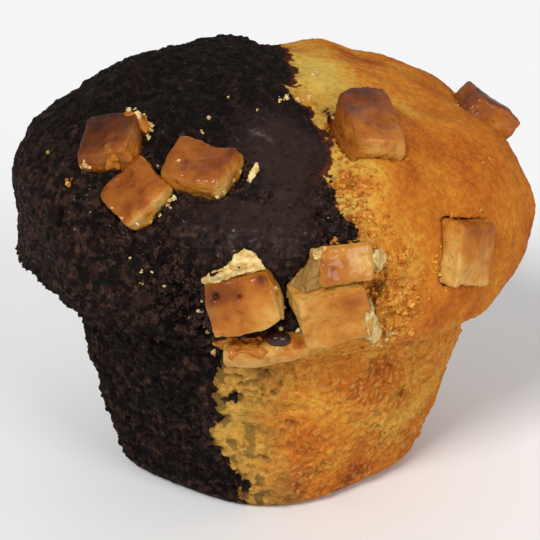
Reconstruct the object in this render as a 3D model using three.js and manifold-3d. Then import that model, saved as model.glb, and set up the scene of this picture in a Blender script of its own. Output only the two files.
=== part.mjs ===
// A half-and-half muffin: chocolate batter on the left, vanilla batter on the right, baked as one
// piece in a cup tin with no paper case, with caramel chunks sunk into its crown.
// Millimetres, +Z up, standing on its foot at the origin. The shown side faces -Y.

import * as THREE from 'three';
import { mergeVertices } from 'three/addons/utils/BufferGeometryUtils.js';
import Module from 'manifold-3d';

const wasm = await Module();
wasm.setup();

// Driving sizes of the muffin

const MUFFIN_HEIGHT = 67;
const CROWN_LEAN = -1.9; // the crown's top stands this far right of the foot's middle, so here to the left
const WALL_SWELL = 0.5; // how far the cup's wall bows out halfway up
const CORNER_SOFTENING = 0.014; // share of the outline over which its corners are rounded off

// Sizes that differ round the muffin, by side

const FOOT_RADIUS = around({ right: 24.2, back: 24.0, left: 25.4, front: 23.8, diagonals: 23.1 });
const FOOT_ROUNDING = around({ right: 3, back: 3.4, left: 2.4, front: 2.8, diagonals: 4.4 });
const MOUTH_RADIUS = around({ right: 32.3, back: 31.5, left: 31.6, front: 30.6 });
const LIP_REACH = around({ right: 1.9, back: 3.5, left: 8.6, front: 1.3 });
const LIP_HEIGHT = around({ right: 30.2, back: 31.0, left: 34.6, front: 29.5 });
const WIDEST_RADIUS = around({ right: 40.3, back: 40.7, left: 39.4, front: 38.5 });
const WIDEST_HEIGHT = around({ right: 46.3, back: 45.8, left: 46.0, front: 44.1 });

// Exponents of the crown's outline above and below its widest place, where 2 is an ellipse

const CROWN_FULLNESS = around({ right: 1.7, back: 1.8, left: 1.85, front: 1.8 });
const LIP_FULLNESS = around({ right: 2.3, back: 2.6, left: 3.4, front: 2.5 });

// The stretches of the outline, in millimetres along it, from the foot's middle to the top

const OUTLINE_LENGTHS = { foot: 20, edge: 5.5, wall: 28, underside: 4, lip: 18, crown: 50 };

// Relief of the baked surface

const LUMPS = { seed: 7, waves: 26, shortest: 13, longest: 28, height: 0.7 };
const CRAGS = { seed: 19, waves: 40, shortest: 6, longest: 9, height: 0.16 };
const FLAT_ZONE = 0.05; // height up to which the foot is plain
const RELIEF_FADE = 4; // height by which the relief is whole
const SEAM_GROOVE = { depth: 1.3, width: 3.2 };
const TEAR = { azimuth: -110, climb: 0.575, depth: 1.6, reach: 6.5 };
const SURFACE_DETAIL = 18;

// The wavy sheet where the two batters meet: how far right of the middle it lies, by the angle round
// a line across the muffin at the hinge height, -90 below it, 0 in front, 90 above and 180 behind

const SEAM_HINGE_HEIGHT = 30;
const SEAM_ANGLES = [-90, -56, -30, -5, 2, 9, 17, 25, 29, 37, 50, 60, 72, 96, 130, 170, 210, 236, 270];
const SEAM_OFFSETS = [-1, -3.5, -8, -7.5, -6, 1, 2.5, 6, 10, 8.5, 9, 8, 4, 3, 0, -4, -2, 2, -1];

// Caramel chunks, each set at an azimuth (0 right, -90 front) and a climb (0 to 1 along the outline).
// Its size is its width, height and thickness. Spin turns it as seen from outside, in degrees, and tip
// leans its upper edge outwards. Proud is the share of its thickness that stands out of the crumb.

const SOCKET_GAP = 0.3;
const CHUNK_DETAIL = 3;
const CHUNK_ROUNDNESS = 10;
const CHUNK_WOBBLE = { seed: 31, waves: 8, shortest: 6, longest: 12, height: 0.3 };
const UPRIGHT = new THREE.Vector3(0, 0.36, 0.93); // the way up that a chunk's spin is counted from

const CHUNKS = [
  { name: 'left_back', azimuth: -135.5, climb: 0.775, size: [8.7, 8, 6.8], spin: 5, proud: 0.4 },
  { name: 'left_inner', azimuth: -107, climb: 0.773, size: [9.5, 7.3, 6], spin: -19, proud: 0.36 },
  { name: 'left_front', azimuth: -122, climb: 0.722, size: [8.5, 7.8, 5.5], spin: 48, proud: 0.34 },
  { name: 'front_left', azimuth: -95, climb: 0.589, size: [10, 7.7, 8], spin: 14, tip: -5, proud: 0.42 },
  { name: 'front_upper', azimuth: -74, climb: 0.616, size: [8, 5.4, 7.5], spin: 8, tip: -20, proud: 0.42 },
  { name: 'front_lower', azimuth: -76.5, climb: 0.577, size: [9.8, 8.4, 7], spin: 16, tip: 5, proud: 0.38 },
  { name: 'top_right', azimuth: -52, climb: 0.809, size: [7.4, 11.6, 6.5], spin: 2, proud: 0.45 },
  { name: 'right_back', azimuth: 13, climb: 0.717, size: [9.2, 8, 6.8], spin: 30, proud: 0.55 },
  { name: 'right_front', azimuth: -41, climb: 0.594, size: [8.2, 9.8, 6.5], spin: 3, proud: 0.36 },
  { name: 'front_sliver', azimuth: -90.2, climb: 0.527, size: [12.8, 2.6, 6], spin: 4, tip: 6, proud: 0.2 },
  { name: 'back_inner', azimuth: 100, climb: 0.72, size: [9.5, 9, 6.5], spin: 32, proud: 0.45 },
  { name: 'back_right', azimuth: 58, climb: 0.665, size: [9, 10, 7], spin: -12, tip: 5, proud: 0.45 },
  { name: 'back_left', azimuth: 138, climb: 0.625, size: [10, 8.5, 7], spin: 20, proud: 0.36 },
  { name: 'back_low', azimuth: 114, climb: 0.57, size: [8.5, 9.5, 6.5], spin: -28, proud: 0.4 },
];

// One value for each azimuth, smooth all round, from the values at the four sides
// and, where it is given, the value on the diagonals between them
function around({ right, back, left, front, diagonals }) {
  const sides = (right + back + left + front) / 4;
  const sideways = (right - left) / 2;
  const lengthways = (back - front) / 2;
  const oval = (right + left - back - front) / 4;
  const between = diagonals ?? sides;
  const mean = (sides + between) / 2;
  const square = (sides - between) / 2;
  return (azimuth) => mean + sideways * Math.cos(azimuth) + lengthways * Math.sin(azimuth)
    + oval * Math.cos(2 * azimuth) + square * Math.cos(4 * azimuth);
}

// A repeatable stream of numbers from 0 to 1
function numbers(seed) {
  let state = seed >>> 0;
  return () => {
    state = (Math.imul(state, 1664525) + 1013904223) >>> 0;
    return state / 4294967296;
  };
}

// Smooth, uneven relief: plane waves of many directions and lengths, added up
function reliefOf({ seed, waves, shortest, longest, height }) {
  const next = numbers(seed);
  const set = [];
  for (let i = 0; i < waves; i += 1) {
    const up = 2 * next() - 1;
    const turn = 2 * Math.PI * next();
    const across = Math.sqrt(1 - up * up);
    const length = shortest + (longest - shortest) * next();
    const direction = new THREE.Vector3(across * Math.cos(turn), across * Math.sin(turn), up);
    set.push({ way: direction.multiplyScalar(2 * Math.PI / length), phase: 2 * Math.PI * next() });
  }
  const share = height * Math.sqrt(2 / waves);
  return (point) => set.reduce((sum, wave) => sum + share * Math.sin(wave.way.dot(point) + wave.phase), 0);
}

const lumps = reliefOf(LUMPS);
const crags = reliefOf(CRAGS);

// The muffin's outline at one azimuth: radius and height at a climb from 0 to 1
const stretches = Object.entries(OUTLINE_LENGTHS);
const outlineLength = stretches.reduce((sum, [, length]) => sum + length, 0);

function outline(azimuth, climb) {
  const foot = FOOT_RADIUS(azimuth);
  const rounding = FOOT_ROUNDING(azimuth);
  const mouth = MOUTH_RADIUS(azimuth);
  const lipHeight = LIP_HEIGHT(azimuth);
  const lipStart = mouth + LIP_REACH(azimuth);
  const widest = WIDEST_RADIUS(azimuth);
  const widestHeight = WIDEST_HEIGHT(azimuth);
  const fullness = CROWN_FULLNESS(azimuth);
  const lipFullness = LIP_FULLNESS(azimuth);
  let along = climb * outlineLength;
  let stretch = 0;
  while (stretch < stretches.length - 1 && along > stretches[stretch][1]) {
    along -= stretches[stretch][1];
    stretch += 1;
  }
  const [part, length] = stretches[stretch];
  const share = Math.min(along / length, 1);
  const turn = share * Math.PI / 2;
  switch (part) {
    case 'foot':
      return { radius: (foot - rounding) * share, height: 0 };
    case 'edge':
      return {
        radius: foot - rounding * (1 - Math.sin(turn)),
        height: rounding * (1 - Math.cos(turn)),
      };
    case 'wall':
      return {
        radius: foot + (mouth - foot) * share + WALL_SWELL * Math.sin(Math.PI * share),
        height: rounding + (lipHeight - rounding) * share,
      };
    case 'underside':
      return { radius: mouth + (lipStart - mouth) * share, height: lipHeight };
    case 'lip':
      return {
        radius: lipStart + (widest - lipStart) * Math.sin(turn) ** (2 / lipFullness),
        height: widestHeight - (widestHeight - lipHeight) * Math.cos(turn) ** (2 / lipFullness),
      };
    default:
      return {
        radius: widest * Math.max(Math.cos(turn), 0) ** (2 / fullness),
        height: widestHeight + (MUFFIN_HEIGHT - widestHeight) * Math.sin(turn) ** (2 / fullness),
      };
  }
}

// A point of the smooth form. The outline's corners are softened by averaging over a short stretch.
function smoothPoint(azimuth, climb) {
  let radius = 0;
  let height = 0;
  for (const shift of [-1, -0.5, 0, 0.5, 1]) {
    const place = outline(azimuth, THREE.MathUtils.clamp(climb + shift * CORNER_SOFTENING, 0, 1));
    radius += place.radius / 5;
    height += place.height / 5;
  }
  const lean = CROWN_LEAN * THREE.MathUtils.smoothstep(height, LIP_HEIGHT(azimuth), MUFFIN_HEIGHT);
  return new THREE.Vector3(radius * Math.cos(azimuth) + lean, radius * Math.sin(azimuth), height);
}

// The outward direction, from two short steps on the smooth form
function outward(azimuth, climb) {
  const step = 0.012;
  const turn = 0.04;
  const low = smoothPoint(azimuth, Math.max(climb - step, 0));
  const high = smoothPoint(azimuth, Math.min(climb + step, 1));
  const before = smoothPoint(azimuth - turn, climb);
  const after = smoothPoint(azimuth + turn, climb);
  const sideways = after.sub(before);
  if (sideways.length() < 1e-3) return new THREE.Vector3(0, 0, climb > 0.5 ? 1 : -1);
  return sideways.cross(high.sub(low)).normalize();
}

// How far right of the wavy meeting sheet a point lies
function rightOfSeam(point) {
  let angle = THREE.MathUtils.radToDeg(Math.atan2(point.z - SEAM_HINGE_HEIGHT, -point.y));
  if (angle < SEAM_ANGLES[0]) angle += 360;
  let i = 0;
  while (i < SEAM_ANGLES.length - 2 && angle > SEAM_ANGLES[i + 1]) i += 1;
  const share = THREE.MathUtils.smoothstep(angle, SEAM_ANGLES[i], SEAM_ANGLES[i + 1]);
  return point.x - THREE.MathUtils.lerp(SEAM_OFFSETS[i], SEAM_OFFSETS[i + 1], share);
}

const tearCentre = smoothPoint(THREE.MathUtils.degToRad(TEAR.azimuth), TEAR.climb);

// The baked surface: the smooth form with its lumps, crags, seam groove and tear
function surfacePoint(azimuth, climb) {
  const point = smoothPoint(azimuth, climb);
  const fade = THREE.MathUtils.smoothstep(point.z, FLAT_ZONE, RELIEF_FADE);
  const crown = THREE.MathUtils.smoothstep(point.z, LIP_HEIGHT(azimuth), WIDEST_HEIGHT(azimuth));
  const besideSeam = rightOfSeam(point) / SEAM_GROOVE.width;
  const groove = SEAM_GROOVE.depth * Math.exp(-besideSeam * besideSeam) * crown;
  const fromTear = point.distanceTo(tearCentre) / TEAR.reach;
  const tear = TEAR.depth * Math.exp(-fromTear * fromTear);
  const rise = lumps(point) * (0.4 + 0.6 * crown) + crags(point) - groove - tear;
  return point.addScaledVector(outward(azimuth, climb), fade * rise);
}

// A closed mesh with its shared vertices merged, ready for cutting
function closed(geometry) {
  geometry.deleteAttribute('normal');
  geometry.deleteAttribute('uv');
  return mergeVertices(geometry, 1e-4);
}

function toSolid(geometry) {
  const vertProperties = new Float32Array(geometry.attributes.position.array);
  const triVerts = new Uint32Array(geometry.index.array);
  return new wasm.Manifold(new wasm.Mesh({ numProp: 3, vertProperties, triVerts }));
}

function toGeometry(solid) {
  const { vertProperties, triVerts } = solid.getMesh();
  const geometry = new THREE.BufferGeometry();
  geometry.setAttribute('position', new THREE.BufferAttribute(new Float32Array(vertProperties), 3));
  geometry.setIndex(new THREE.BufferAttribute(new Uint32Array(triVerts), 1));
  geometry.computeVertexNormals();
  return geometry;
}

// The muffin's one baked body: a fine ball whose points are moved onto the surface
function bakedBody() {
  const ball = closed(new THREE.IcosahedronGeometry(1, SURFACE_DETAIL));
  const places = ball.attributes.position;
  const direction = new THREE.Vector3();
  for (let i = 0; i < places.count; i += 1) {
    direction.fromBufferAttribute(places, i).normalize();
    const climb = 1 - Math.acos(THREE.MathUtils.clamp(direction.z, -1, 1)) / Math.PI;
    const place = surfacePoint(Math.atan2(direction.y, direction.x), climb);
    places.setXYZ(i, place.x, place.y, place.z);
  }
  return ball;
}

// A softened block: a cube's points drawn part of the way to a ball, with a slight wobble
function chunkGeometry([wide, tall, thick], index, grown = 0) {
  const block = closed(new THREE.BoxGeometry(2, 2, 2, CHUNK_DETAIL, CHUNK_DETAIL, CHUNK_DETAIL));
  const places = block.attributes.position;
  const wobble = reliefOf({ ...CHUNK_WOBBLE, seed: CHUNK_WOBBLE.seed + index });
  const half = new THREE.Vector3(wide, tall, thick).multiplyScalar(0.5);
  const point = new THREE.Vector3();
  for (let i = 0; i < places.count; i += 1) {
    point.fromBufferAttribute(places, i);
    const sum = Math.abs(point.x) ** CHUNK_ROUNDNESS + Math.abs(point.y) ** CHUNK_ROUNDNESS
      + Math.abs(point.z) ** CHUNK_ROUNDNESS;
    point.multiplyScalar(sum ** (-1 / CHUNK_ROUNDNESS));
    const away = point.clone();
    point.multiply(half);
    point.addScaledVector(away, wobble(point) + grown);
    places.setXYZ(i, point.x, point.y, point.z);
  }
  return block;
}

// Where a chunk sits: its frame has +Z outward and +Y up the muffin
function chunkPlace({ azimuth, climb, size, spin, tip = 0, proud }) {
  const angle = THREE.MathUtils.degToRad(azimuth);
  const out = outward(angle, climb);
  const across = UPRIGHT.clone().cross(out).normalize();
  const up = out.clone().cross(across);
  const set = new THREE.Matrix4().makeBasis(across, up, out);
  const spun = new THREE.Matrix4().makeRotationZ(THREE.MathUtils.degToRad(spin));
  const tipped = new THREE.Matrix4().makeRotationX(THREE.MathUtils.degToRad(tip));
  const centre = surfacePoint(angle, climb).addScaledVector(out, size[2] * (proud - 0.5));
  return set.multiply(tipped).multiply(spun).setPosition(centre);
}

const crumbFinish = new THREE.MeshStandardMaterial({ color: 0xb8752f, roughness: 0.9, metalness: 0 });
const caramelFinish = new THREE.MeshStandardMaterial({ color: 0xcf8a3e, roughness: 0.4, metalness: 0 });

const muffin = new THREE.Group();
let body = toSolid(bakedBody());
const sockets = [];

// Each chunk lies in a socket of its own. Where two chunks meet, the later one is cut back.
CHUNKS.forEach((chunk, index) => {
  const place = chunkPlace(chunk);
  const back = place.clone().invert();
  const block = sockets.reduce(
    (solid, socket) => solid.subtract(toSolid(socket.clone().applyMatrix4(back))),
    toSolid(chunkGeometry(chunk.size, index)),
  );
  const socket = chunkGeometry(chunk.size, index, SOCKET_GAP).applyMatrix4(place);
  body = body.subtract(toSolid(socket));
  sockets.push(socket);
  const mesh = new THREE.Mesh(toGeometry(block), caramelFinish.clone());
  mesh.name = `chunk_${chunk.name}`;
  mesh.position.setFromMatrixPosition(place);
  mesh.rotation.setFromRotationMatrix(place);
  muffin.add(mesh);
});

const crumb = new THREE.Mesh(toGeometry(body), crumbFinish);
crumb.name = 'crumb';
muffin.add(crumb);

export default muffin;
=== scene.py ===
# %% [markdown]
# # A half-and-half muffin with caramel chunks
#
# The muffin is baked in a cup tin with no paper case. Chocolate batter was poured on the left and
# vanilla on the right, so a torn, wandering line runs over the crown and down the wall between them.
# Caramel chunks were pressed into the top and browned in the oven.
#
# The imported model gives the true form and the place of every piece. This script adds what an oven
# adds: pores, crags, crust, glaze and crumbs.

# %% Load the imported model
import math
from types import SimpleNamespace

import bpy
import numpy as np
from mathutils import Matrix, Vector, noise
from mathutils.bvhtree import BVHTree


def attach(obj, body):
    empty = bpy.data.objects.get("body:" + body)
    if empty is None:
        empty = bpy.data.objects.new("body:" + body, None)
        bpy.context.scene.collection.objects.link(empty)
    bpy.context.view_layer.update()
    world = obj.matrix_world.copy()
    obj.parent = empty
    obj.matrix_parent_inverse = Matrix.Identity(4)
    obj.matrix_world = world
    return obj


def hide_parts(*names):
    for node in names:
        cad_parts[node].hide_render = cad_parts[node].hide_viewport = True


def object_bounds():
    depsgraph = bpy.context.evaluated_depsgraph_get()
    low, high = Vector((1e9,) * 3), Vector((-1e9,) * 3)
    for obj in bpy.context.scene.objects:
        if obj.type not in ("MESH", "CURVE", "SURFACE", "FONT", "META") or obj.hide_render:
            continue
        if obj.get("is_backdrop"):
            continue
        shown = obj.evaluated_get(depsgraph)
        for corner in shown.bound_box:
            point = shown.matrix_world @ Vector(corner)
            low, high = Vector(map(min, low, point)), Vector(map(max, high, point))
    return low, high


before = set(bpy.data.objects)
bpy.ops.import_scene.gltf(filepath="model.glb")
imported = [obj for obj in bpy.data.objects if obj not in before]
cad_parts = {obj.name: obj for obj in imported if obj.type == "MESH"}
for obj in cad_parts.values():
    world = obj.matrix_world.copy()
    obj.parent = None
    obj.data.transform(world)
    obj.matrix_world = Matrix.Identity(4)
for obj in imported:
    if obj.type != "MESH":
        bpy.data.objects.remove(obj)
cad_low, cad_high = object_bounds()
MM = 0.001
print("nodes:", len(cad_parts), "box in mm:", [round(v / MM, 1) for v in (cad_high - cad_low)])

# %% [markdown]
# ## The camera and the light
#
# The muffin was looked at from a little above, from close by, with a long lens. The light is soft
# and comes from all round, a bit stronger from above on the left, as in a light tent. Area lamps
# would each need a place and a size. Wide suns and a white sky give the same soft light with fewer
# numbers, and it falls alike on every side.

# %% Camera
CAMERA_ELEVATION = math.radians(21)
CAMERA_DISTANCE = 0.340
CAMERA_AIM = Vector((0, 0, 0.0309))
VIEW_WIDTH = 0.08559
SENSOR_WIDTH = 36.0
PICTURE_SIDE = 540

towards_camera = Vector((0, -math.cos(CAMERA_ELEVATION), math.sin(CAMERA_ELEVATION)))
camera_place = CAMERA_AIM + towards_camera * CAMERA_DISTANCE
bpy.ops.object.camera_add(location=camera_place, rotation=(math.pi / 2 - CAMERA_ELEVATION, 0, 0))
camera = bpy.context.object
camera.name = "camera"
camera.data.sensor_width = SENSOR_WIDTH
camera.data.lens = SENSOR_WIDTH * CAMERA_DISTANCE / VIEW_WIDTH
camera.data.clip_start = 0.01
bpy.context.scene.camera = camera
bpy.context.scene.view_settings.view_transform = "Standard"
print("lens in mm:", round(camera.data.lens, 1))


def sight_line(x, y):
    """Where the ray through a pixel of the square picture starts, and which way it goes."""
    across = Vector((1, 0, 0))
    up = towards_camera.cross(across)
    step = VIEW_WIDTH / PICTURE_SIDE
    target = CAMERA_AIM + across * (x - PICTURE_SIDE / 2) * step + up * (PICTURE_SIDE / 2 - y) * step
    return camera_place, (target - camera_place).normalized()


# %% Lamps
# Each lamp: the direction it shines from, its strength and its width in degrees
LAMPS = {
    "key": ((-0.45, -1.00, 0.85), 2.2, 18),
    "fill": ((0.75, -0.95, 0.42), 1.3, 30),
    "back": ((0.10, 0.70, 1.00), 0.3, 60),
}
for name, (direction, strength, width) in LAMPS.items():
    bpy.ops.object.light_add(type="SUN", location=Vector(direction))
    lamp = bpy.context.object
    lamp.name = name
    lamp.data.energy = strength
    lamp.data.angle = math.radians(width)
    lamp.rotation_euler = Vector(direction).to_track_quat("Z", "Y").to_euler()
print("lamps:", ", ".join(LAMPS))

# %% Sky and floor
SKY_STRENGTH = 0.35
FLOOR_SIDE = 6
FLOOR_LOOK = {"Base Color": (0.93, 0.93, 0.93, 1), "Roughness": 0.9, "Specular IOR Level": 0.1}


def fill(tree, node, inputs):
    """Sets a node's inputs: a socket is linked, and anything else is a plain value."""
    for key, value in inputs.items():
        if isinstance(value, bpy.types.NodeSocket):
            tree.links.new(value, node.inputs[key])
        else:
            node.inputs[key].default_value = value


def new_finish(name, numbers):
    """A material with its plain numbers set, its tree and its shader."""
    material = bpy.data.materials.new(name)
    material.use_nodes = True
    shader = material.node_tree.nodes["Principled BSDF"]
    fill(material.node_tree, shader, numbers)
    return material, material.node_tree, shader


world = bpy.data.worlds.new("white_tent")
bpy.context.scene.world = world
world.use_nodes = True
sky = world.node_tree.nodes["Background"]
fill(world.node_tree, sky, {"Color": (1, 1, 1, 1), "Strength": SKY_STRENGTH})

bpy.ops.mesh.primitive_plane_add(size=FLOOR_SIDE)
floor = bpy.context.object
floor.name = "floor"
floor.data.materials.append(new_finish("pale_floor", FLOOR_LOOK)[0])
floor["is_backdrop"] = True
print("floor side in metres:", FLOOR_SIDE)

# %% [markdown]
# ## Helpers for meshes
#
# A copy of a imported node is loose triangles, so its doubles are merged first. A voxel remesh then
# gives it an even skin, fine enough to carry pores, and smoothing takes away the facets. Subdivision
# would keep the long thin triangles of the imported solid, and relief would show them as streaks.

# %% Mesh helpers
WELD = 0.01 * MM


def select_only(piece):
    bpy.ops.object.select_all(action="DESELECT")
    piece.select_set(True)
    bpy.context.view_layer.objects.active = piece


def copy_of_node(node, name):
    """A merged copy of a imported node's mesh, as a piece of its own."""
    piece = bpy.data.objects.new(name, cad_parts[node].data.copy())
    bpy.context.scene.collection.objects.link(piece)
    piece.data.materials.clear()
    select_only(piece)
    bpy.ops.object.mode_set(mode="EDIT")
    bpy.ops.mesh.select_all(action="SELECT")
    bpy.ops.mesh.remove_doubles(threshold=WELD)
    bpy.ops.object.mode_set(mode="OBJECT")
    if piece.data.has_custom_normals:
        bpy.ops.mesh.customdata_custom_splitnormals_clear()
    return piece


def add_modifier(piece, kind, **settings):
    """Adds a modifier, sets it and applies it."""
    select_only(piece)
    modifier = piece.modifiers.new(kind.lower(), kind)
    for key, value in settings.items():
        setattr(modifier, key, value)
    bpy.ops.object.modifier_apply(modifier=modifier.name)


def remesh(piece, voxel):
    add_modifier(piece, "REMESH", mode="VOXEL", voxel_size=voxel, use_smooth_shade=True)


def places_of(piece):
    places = np.empty(len(piece.data.vertices) * 3)
    piece.data.vertices.foreach_get("co", places)
    return places.reshape(-1, 3)


def move_to(piece, places):
    piece.data.vertices.foreach_set("co", places.ravel())
    piece.data.update()


def normals_of(piece):
    normals = np.empty(len(piece.data.vertices) * 3, np.float32)
    piece.data.vertex_normals.foreach_get("vector", normals)
    return normals.reshape(-1, 3)


def weigh(piece, name, weights):
    """A vertex group from an array of weights, in steps of a hundredth."""
    group = piece.vertex_groups.new(name=name)
    steps = np.rint(np.clip(weights, 0, 1) * 100).astype(int)
    for step in range(1, 101):
        chosen = np.flatnonzero(steps == step)
        if len(chosen):
            group.add(chosen.tolist(), step / 100, "REPLACE")


def paint(piece, name, values):
    """A float attribute that the materials read."""
    attribute = piece.data.attributes.new(name, "FLOAT", "POINT")
    attribute.data.foreach_set("value", np.asarray(values, np.float32))


def smoothstep(low, high, values):
    share = np.clip((values - low) / (high - low), 0, 1)
    return share * share * (3 - 2 * share)


def mottle(places, size, seed=0.0, octaves=2):
    """Soft noise from about -1 to 1 at each place, with blotches of about the given size."""
    shift = Vector((seed * 7.31, seed * 3.17, seed * 5.73))
    values = [noise.fractal(Vector(p) / size + shift, 1.0, 2.0, octaves) for p in places]
    return np.array(values)


def texture(name, kind, size, **settings):
    made = bpy.data.textures.new(name, kind)
    made.noise_scale = size
    for key, value in settings.items():
        setattr(made, key, value)
    return made


def displace(piece, pattern, height, group="", middle=0.5):
    add_modifier(
        piece, "DISPLACE", texture=pattern, texture_coords="LOCAL", strength=height,
        mid_level=middle, vertex_group=group,
    )


# %% [markdown]
# ## The line where the batters meet
#
# The line is held as in the part's source: a wavy sheet whose offset to the right changes with the
# angle round a hinge line across the muffin. Each point of the crumb then knows how far right of the
# sheet it lies, and the finish paints chocolate or vanilla by it. A mask could be painted by hand
# instead, but a formula still holds when the crumb is remeshed.

# %% Seam
SEAM_HINGE = 30 * MM
SEAM_ANGLES = [-90, -56, -30, -5, 2, 9, 17, 25, 29, 37, 50, 60, 72, 96, 130, 170, 210, 236, 270]
SEAM_OFFSETS = [-1, -3.5, -8, -7.5, -6, 1, 2.5, 6, 10, 8.5, 9, 8, 4, 3, 0, -4, -2, 2, -1]


def right_of_seam(places):
    """How many millimetres right of the meeting sheet each place lies."""
    angle = np.degrees(np.arctan2(places[:, 2] - SEAM_HINGE, -places[:, 1]))
    angle = np.where(angle < SEAM_ANGLES[0], angle + 360, angle)
    step = np.clip(np.searchsorted(SEAM_ANGLES, angle) - 1, 0, len(SEAM_ANGLES) - 2)
    angles = np.array(SEAM_ANGLES)
    offsets = np.array(SEAM_OFFSETS)
    share = np.clip((angle - angles[step]) / (angles[step + 1] - angles[step]), 0, 1)
    share = share * share * (3 - 2 * share)
    return places[:, 0] / MM - (offsets[step] + (offsets[step + 1] - offsets[step]) * share)


# %% [markdown]
# ## The crumb
#
# The crumb is the whole baked body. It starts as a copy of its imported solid, and a remesh gives it
# faces of about half a millimetre. Relief comes in layers, each a procedural texture on a Displace
# modifier that is applied: low swellings, crags, pores that go inward, cracks on the chocolate side,
# folds and a fine grain. Vertex groups say where each layer is strong. The skin of the dark crown is
# smooth and folded, the wall is porous, and the torn patches are rough. Bump alone would be quicker,
# but it leaves the outline smooth, so the relief is real.

# %% Crumb: an even skin
CRUMB_VOXEL = 0.445 * MM
FACET_SMOOTHING = 14
# Near a chunk the smoothing fades out over these distances in millimetres, so that its socket stays
RIM_FADE = (0.6, 1.8)

crumb = copy_of_node("crumb", "muffin_crumb")
remesh(crumb, CRUMB_VOXEL)
places = places_of(crumb)

chunk_names = sorted(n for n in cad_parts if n.startswith("chunk_"))
chunk_trees = []
for name in chunk_names:
    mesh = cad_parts[name].data
    chunk_trees.append(BVHTree.FromPolygons(
        [v.co.copy() for v in mesh.vertices], [tuple(p.vertices) for p in mesh.polygons]))


def reach_to_chunks(places, limit=4 * MM):
    """The distance from each place to the nearest chunk, up to a limit."""
    reach = np.full(len(places), limit)
    for tree in chunk_trees:
        for i, place in enumerate(places):
            found = tree.find_nearest(Vector(place), reach[i])
            if found[3] is not None:
                reach[i] = found[3]
    return reach


to_chunk = reach_to_chunks(places)
weigh(crumb, "away_from_chunks", smoothstep(*RIM_FADE, to_chunk / MM))
add_modifier(crumb, "SMOOTH", factor=0.5, iterations=FACET_SMOOTHING, vertex_group="away_from_chunks")
print("crumb faces:", len(crumb.data.polygons))


# %% Crumb: places named by a pixel of the picture
# A mark is a pixel of the 540 by 540 picture, a radius in millimetres and an amount.
# The amount is a share of the torn look or the smooth skin, a depth in millimetres, a shift of the
# seam in millimetres, or a share of browning.
TORN = [
    (190, 310, 6, 1), (168, 275, 4.5, 0.7), (345, 190, 4, 0.9), (345, 225, 5, 1), (392, 290, 6, 1),
    (385, 322, 4, 0.9), (225, 340, 3, 0.8), (120, 235, 5, 0.5), (75, 200, 4, 0.4),
]
SKIN = [
    (300, 165, 7, 1), (296, 200, 7, 1), (275, 140, 5, 0.8), (250, 215, 4.5, 0.6),
    (205, 215, 4, 0.4),
]
HOLES = [
    (176, 288, 0.9, 1.0), (190, 300, 0.8, 1.1), (183, 322, 1.0, 1.2), (205, 335, 0.8, 1.0),
    (172, 305, 0.7, 0.8), (160, 268, 0.7, 0.7), (214, 346, 0.8, 0.9), (57, 213, 0.5, 0.9),
    (57, 219, 0.5, 1.0), (56, 225, 0.5, 0.9), (375, 294, 1.3, 2.0), (373, 304, 1.1, 1.7),
    (380, 288, 0.8, 1.0), (350, 186, 0.5, 0.7), (362, 183, 0.5, 0.7), (347, 212, 0.6, 0.8),
    (343, 150, 0.6, 0.7), (336, 128, 0.7, 0.7), (392, 318, 0.8, 0.8), (386, 272, 0.8, 0.8),
    (384, 240, 0.7, 0.6), (238, 400, 0.9, 0.7), (226, 420, 0.9, 0.7), (272, 395, 0.7, 0.6),
    (252, 430, 0.7, 0.6), (290, 425, 0.6, 0.6), (262, 460, 0.7, 0.6), (257, 370, 0.6, 0.8),
    (266, 374, 0.5, 0.7), (292, 335, 1.0, 1.2), (290, 310, 1.0, 0.8),
]
TONGUES = [
    (346, 233, 2.2, -4.5), (330, 112, 2.0, -2.0), (318, 118, 1.6, 2.0), (296, 98, 2.4, 2.5),
    (284, 84, 1.6, 2.0), (290, 68, 1.8, -1.5), (272, 40, 2.0, 1.5), (236, 400, 1.6, -4.5),
    (221, 420, 1.3, -2.0), (228, 436, 2.4, 3.0), (224, 412, 1.2, 1.5), (228, 384, 1.8, 2.0),
    (236, 340, 2.5, 1.5), (330, 205, 2.0, -1.2), (291, 300, 2.6, -6.0), (293, 325, 2.4, -6.0),
    (240, 462, 2.0, 1.5), (246, 482, 2.0, -2.0),
]
BROWNED = [
    (375, 375, 3.0, 0.22), (392, 368, 2.5, 0.18), (285, 490, 4.0, 0.26), (345, 52, 2.2, 0.30),
    (374, 62, 2.2, 0.30), (345, 182, 1.6, 0.45), (366, 184, 1.4, 0.45), (374, 298, 1.6, 0.35),
    (430, 322, 4.0, 0.12), (455, 300, 4.0, 0.10), (410, 130, 6.0, 0.10), (415, 280, 5.5, -0.20),
    (500, 190, 7.0, 0.06), (350, 470, 4.0, 0.08), (316, 70, 6.0, -0.36), (345, 100, 5.0, -0.12),
    (345, 150, 4.0, -0.16), (350, 200, 3.5, -0.10), (352, 160, 3.0, -0.08), (395, 335, 2.5, -0.14),
    (400, 420, 8.0, -0.10), (350, 385, 4.0, 0.10), (338, 440, 4.0, 0.06),
]


def surface_at(tree, x, y):
    """The place on a surface that a pixel of the picture shows, or the nearest place to it."""
    start, way = sight_line(x, y)
    place = tree.ray_cast(start, way)[0]
    if place is None:
        middle = tree.find_nearest(start)[0]
        place = tree.find_nearest(start + way * (middle - start).dot(way))[0]
    return np.array(place)


def marked(places, tree, marks):
    """The sum of the marks at each place, each mark fading over its radius."""
    total = np.zeros(len(places))
    for x, y, radius, amount in marks:
        away = np.linalg.norm(places - surface_at(tree, x, y), axis=1) / MM
        total += amount * np.exp(-(away / radius) ** 2)
    return total


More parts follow.
